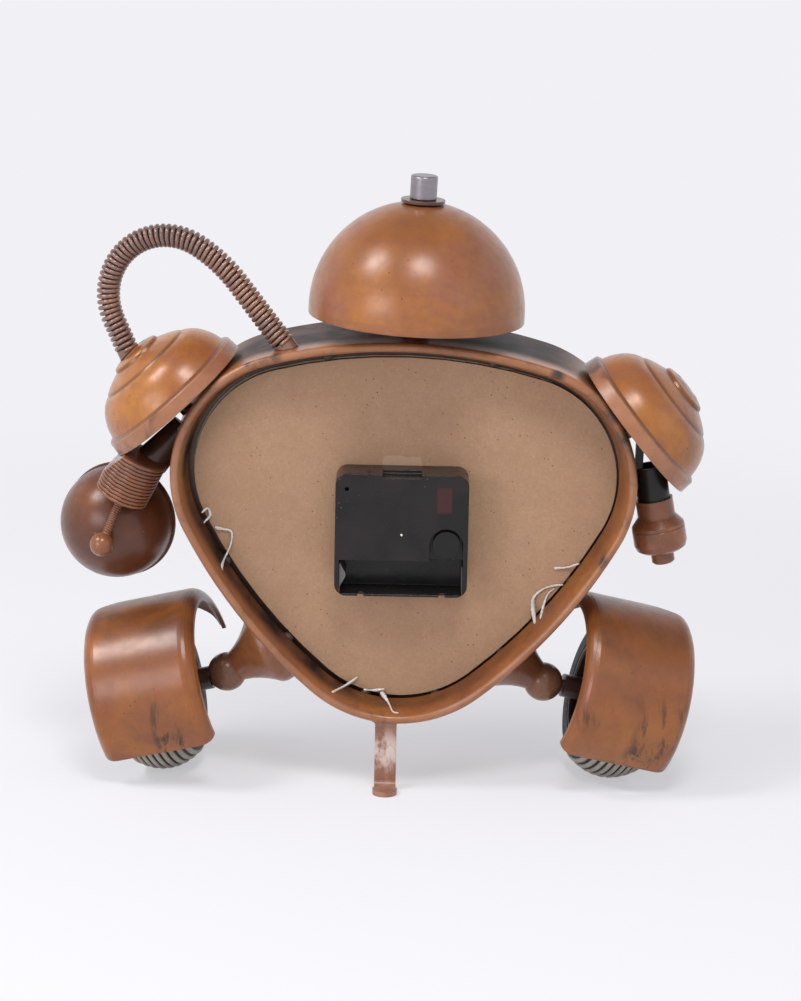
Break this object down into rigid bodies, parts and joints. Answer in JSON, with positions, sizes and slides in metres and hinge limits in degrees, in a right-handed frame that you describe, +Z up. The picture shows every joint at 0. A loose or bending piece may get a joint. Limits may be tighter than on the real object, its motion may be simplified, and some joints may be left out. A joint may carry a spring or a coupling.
{
  "type": "robot clock",
  "caption": "Free-standing clock in the shape of a robot: rounded triangular steel body, bell head, stepped shoulders, wound hose, fendered wheels.",
  "frame": {"origin": "on the floor, in the middle of the whole object's width and depth", "axes": "+X towards the object's own left, which is the hose's side; -Y is the way the dial faces and +Y the open back; +Z up"},
  "size_m": [0.2744, 0.091, 0.2627],
  "materials": {
    "copper_steel": "copper-coloured plate with a brown patina, satin",
    "brown_steel": "dark brown patina, satin",
    "pale_steel": "bare, brushed",
    "black_steel": "black, satin",
    "glass": "clear",
    "dial_sheet": "cream, matt",
    "fibreboard": "raw fibreboard, matt",
    "glue": "hardened hot glue, milky",
    "dark_rubber": "matt",
    "tyre": "grey ribbed rubber, matt",
    "black_plastic": "glossy black",
    "brass": "turned",
    "pale_plastic": "moulded acetal",
    "bright_steel": "plated",
    "copper_winding": "enamelled wire",
    "green_board": "solder mask",
    "hand_paint": "painted dark, matt"
  },
  "bodies": {
    "clock_body": {"body_shell": "copper_steel", "dial_ledge": "brown_steel", "glass_pane": "glass", "glass_ring": "brown_steel", "dial_plate": "dial_sheet", "back_board": "fibreboard", "glue_pads": "glue", "prop_stand": "copper_steel", "head_dome": "copper_steel", "head_stud": "brown_steel", "finial": "pale_steel", "finial_washer": "brown_steel", "left_shoulder": "copper_steel", "right_shoulder": "copper_steel", "shoulder_studs": "brown_steel", "hose_core": "dark_rubber", "hose_wire": "brown_steel", "hose_collars": "brown_steel", "left_upper_arm": "black_steel", "left_ribbed_cone": "copper_steel", "left_threaded_rod": "copper_steel", "left_bowl": "copper_steel", "right_arm_bar": "black_steel", "right_sleeve": "black_steel", "right_barrel": "copper_steel", "leg_flares": "copper_steel", "leg_beads": "brown_steel", "left_axle": "brown_steel", "right_axle": "brown_steel", "left_fender": "copper_steel", "right_fender": "copper_steel", "fender_stays": "brown_steel", "axle_nuts": "brown_steel", "movement_base": "black_plastic", "movement_cover": "black_plastic", "case_gasket": "dark_rubber", "threaded_bushing": "brass", "bushing_washer": "brass", "bushing_nut": "brass", "middle_plate": "pale_plastic", "stator": "bright_steel", "coil": "copper_winding", "circuit_board": "green_board", "battery_contacts": "bright_steel"},
    "minute": {"minute_arbor": "pale_plastic", "minute_hand": "hand_paint", "hand_nut": "brass"},
    "hour": {"hour_wheel": "pale_plastic", "hour_hand": "hand_paint"},
    "minute_gear": {"minute_wheel": "pale_plastic"},
    "knob": {"setting_knob": "black_plastic"},
    "centre_gear": {"centre_wheel": "pale_plastic"},
    "third_gear": {"third_wheel": "pale_plastic"},
    "second_gear": {"second_wheel": "pale_plastic"},
    "intermediate_gear": {"intermediate_wheel": "pale_plastic"},
    "rotor_body": {"rotor": "pale_plastic"},
    "left_wheel": {"left_hub": "brown_steel", "left_tyre": "tyre"},
    "right_wheel": {"right_hub": "brown_steel", "right_tyre": "tyre"}
  },
  "joints": [
    {"name": "minute_turn", "type": "hinge", "parent": "clock_body", "child": "minute", "pos_m": [-0.00985, -0.003, 0.114], "axis": [0, 1, 0], "continuous": true},
    {"name": "hour_turn", "type": "hinge", "parent": "clock_body", "child": "hour", "pos_m": [-0.00985, 0, 0.114], "axis": [0, 1, 0], "continuous": true},
    {"name": "minute_wheel_turn", "type": "hinge", "parent": "clock_body", "child": "minute_gear", "pos_m": [-0.02087, 0.012, 0.11876], "axis": [0, 1, 0], "continuous": true},
    {"name": "knob_turn", "type": "hinge", "parent": "clock_body", "child": "knob", "pos_m": [-0.02885, 0.018, 0.1098], "axis": [0, 1, 0], "continuous": true},
    {"name": "second_wheel_turn", "type": "hinge", "parent": "clock_body", "child": "second_gear", "pos_m": [-0.00985, 0.018, 0.114], "axis": [0, 1, 0], "continuous": true},
    {"name": "centre_wheel_turn", "type": "hinge", "parent": "clock_body", "child": "centre_gear", "pos_m": [-0.00985, 0.0145, 0.114], "axis": [0, 1, 0], "continuous": true},
    {"name": "third_wheel_turn", "type": "hinge", "parent": "clock_body", "child": "third_gear", "pos_m": [-0.01641, 0.016, 0.12181], "axis": [0, 1, 0], "continuous": true},
    {"name": "intermediate_wheel_turn", "type": "hinge", "parent": "clock_body", "child": "intermediate_gear", "pos_m": [0.00061, 0.018, 0.11492], "axis": [0, 1, 0], "continuous": true},
    {"name": "rotor_turn", "type": "hinge", "parent": "clock_body", "child": "rotor_body", "pos_m": [0.00755, 0.018, 0.12319], "axis": [0, 1, 0], "continuous": true},
    {"name": "left_wheel_roll", "type": "hinge", "parent": "clock_body", "child": "left_wheel", "pos_m": [0.09165, -0.005, 0.03589], "axis": [0.9587, -0.1347, -0.2504], "continuous": true},
    {"name": "right_wheel_roll", "type": "hinge", "parent": "clock_body", "child": "right_wheel", "pos_m": [-0.10135, -0.005, 0.03589], "axis": [-0.947, -0.2013, -0.2504], "continuous": true}
  ],
  "couplings": [
    {"joint": "hour_turn", "follows": "minute_turn", "ratio": 0.083333},
    {"joint": "minute_wheel_turn", "follows": "minute_turn", "ratio": -0.33333},
    {"joint": "knob_turn", "follows": "minute_turn", "ratio": 1},
    {"joint": "second_wheel_turn", "follows": "rotor_turn", "ratio": 0.033333},
    {"joint": "third_wheel_turn", "follows": "rotor_turn", "ratio": -0.0044444},
    {"joint": "centre_wheel_turn", "follows": "rotor_turn", "ratio": 0.00055556},
    {"joint": "intermediate_wheel_turn", "follows": "rotor_turn", "ratio": -0.2}
  ]
}
